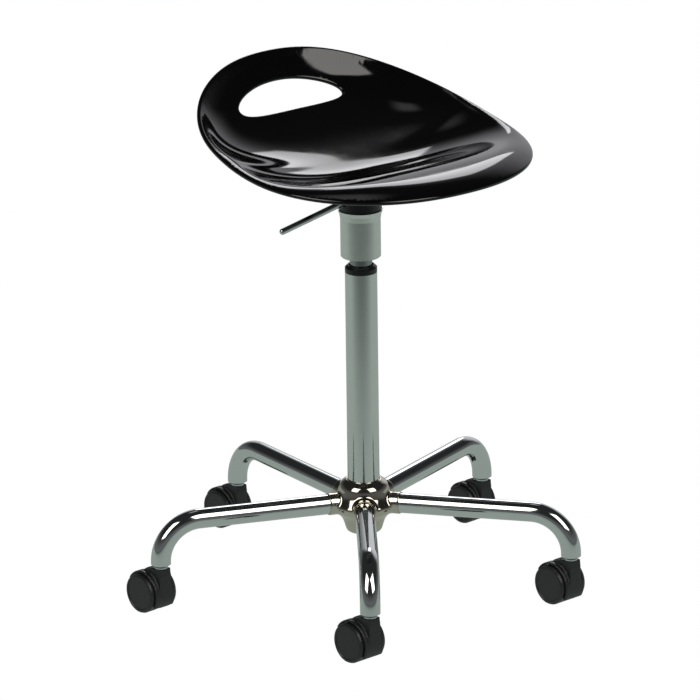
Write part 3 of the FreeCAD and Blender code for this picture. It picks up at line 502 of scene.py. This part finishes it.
def softLight(tree, direction, light):
    ahead = towards(light["azimuth"], light["elevation"])
    side = ahead.cross(Vector((0, 0, 1))).normalized()
    top = side.cross(ahead)
    reach = addNode(tree, "VectorMath", {0: direction, 1: ahead}, operation="DOT_PRODUCT").outputs["Value"]
    inFront = addNode(tree, "Math", {0: reach, 1: studio["facing"]}, operation="GREATER_THAN").outputs[0]
    masks = [inFront]
    for axis, span in ((side, light["width"]), (top, light["height"])):
        across = addNode(tree, "VectorMath", {0: direction, 1: axis},
                         operation="DOT_PRODUCT").outputs["Value"]
        slope = addNode(tree, "Math", {0: across, 1: reach}, operation="DIVIDE").outputs[0]
        size = addNode(tree, "Math", {0: slope}, operation="ABSOLUTE").outputs[0]
        near = math.tan(math.radians(max(span / 2 - light["edge"], 0)))
        far = math.tan(math.radians(span / 2 + light["edge"]))
        mask = addNode(tree, "MapRange", {"Value": size, "From Min": near, "From Max": far,
                                          "To Min": 1.0, "To Max": 0.0}, interpolation_type="SMOOTHSTEP")
        masks.append(mask.outputs["Result"])
    level = light["glow"]
    for mask in masks:
        level = addNode(tree, "Math", {0: mask, 1: level}, operation="MULTIPLY").outputs[0]
    return addNode(tree, "Background", {"Color": linear(light["colour"]), "Strength": level}).outputs[0]


def studioWorld():
    world = bpy.data.worlds.new("studio")
    bpy.context.scene.world = world
    world.use_nodes = True
    tree = world.node_tree
    tree.nodes.clear()
    direction = addNode(tree, "TexCoord").outputs["Generated"]
    axes = addNode(tree, "SeparateXYZ", {"Vector": direction})
    # dim room: a little lighter at the horizon than above
    level = addNode(tree, "MapRange", {"Value": axes.outputs["Z"], "From Min": 0.0, "From Max": 0.5,
                                       "To Min": studio["roomLow"], "To Max": studio["roomHigh"]},
                    interpolation_type="SMOOTHSTEP")
    lit = addNode(tree, "Background", {"Color": linear(studio["roomColour"]),
                                       "Strength": level.outputs["Result"]}).outputs[0]
    for light in softLights.values():
        lit = addNode(tree, "AddShader", {0: lit, 1: softLight(tree, direction, light)}).outputs[0]
    white = addNode(tree, "Background", {"Color": (1, 1, 1, 1), "Strength": 1.0})
    rays = addNode(tree, "LightPath")
    chosen = addNode(tree, "MixShader", {0: rays.outputs["Is Camera Ray"], 1: lit, 2: white.outputs[0]})
    addNode(tree, "OutputWorld", {"Surface": chosen.outputs[0]})
    world.cycles.sampling_method = "MANUAL"
    world.cycles.sample_map_resolution = 2048


def studioFloor():
    bpy.ops.object.select_all(action="DESELECT")
    bpy.ops.mesh.primitive_plane_add(size=studio["floorSize"], location=(0, 0, -studio["floorDrop"]))
    floor = bpy.context.active_object
    floor.name = "studioFloor"
    material = bpy.data.materials.new("palePaper")
    material.use_nodes = True
    tree = material.node_tree
    tree.nodes.clear()
    place = addNode(tree, "TexCoord").outputs["Object"]
    turned = addNode(tree, "Mapping", {"Vector": place, "Rotation": (0, 0, math.radians(studio["heading"]))})
    axes = addNode(tree, "SeparateXYZ", {"Vector": turned.outputs["Vector"]})
    shade = addNode(tree, "MapRange", {"Value": axes.outputs["Y"], "From Min": studio["dimPlace"],
                                       "From Max": studio["brightPlace"],
                                       "To Min": studio["dimShare"], "To Max": 1.0},
                    interpolation_type="SMOOTHSTEP")
    # painted light and painted shade: reflected rays see the floor glow in its own colour, dimmer towards the
    # camera; camera rays see even white
    paintedFloorLight = addNode(tree, "Emission", {"Color": linear(studio["floorColour"]),
                                        "Strength": shade.outputs["Result"]})
    white = addNode(tree, "Emission", {"Color": (1, 1, 1, 1), "Strength": 1.0})
    rays = addNode(tree, "LightPath")
    chosen = addNode(tree, "MixShader", {0: rays.outputs["Is Camera Ray"], 1: paintedFloorLight.outputs[0],
                                         2: white.outputs[0]})
    addNode(tree, "OutputMaterial", {"Surface": chosen.outputs[0]})
    floor.data.materials.append(material)


studioWorld()
studioFloor()


def studioCamera():
    data = bpy.data.cameras.new("studioCamera")
    data.lens = studio["lens"]
    data.sensor_width = studio["sensor"]
    data.clip_end = studio["clip"]
    camera = bpy.data.objects.new("studioCamera", data)
    heading = math.radians(studio["heading"])
    camera.location = (-math.sin(heading) * studio["cameraDistance"],
                       -math.cos(heading) * studio["cameraDistance"], studio["cameraHeight"])
    look = heading + math.radians(studio["lookRight"])
    down = math.radians(studio["lookDown"])
    forward = Vector((math.sin(look) * math.cos(down), math.cos(look) * math.cos(down), -math.sin(down)))
    turn = forward.to_track_quat("-Z", "Y") @ Euler((0, 0, math.radians(studio["roll"]))).to_quaternion()
    camera.rotation_euler = turn.to_euler()
    bpy.context.scene.collection.objects.link(camera)
    bpy.context.scene.camera = camera


studioCamera()
bpy.context.scene.view_settings.view_transform = "Standard"
print("studio set")
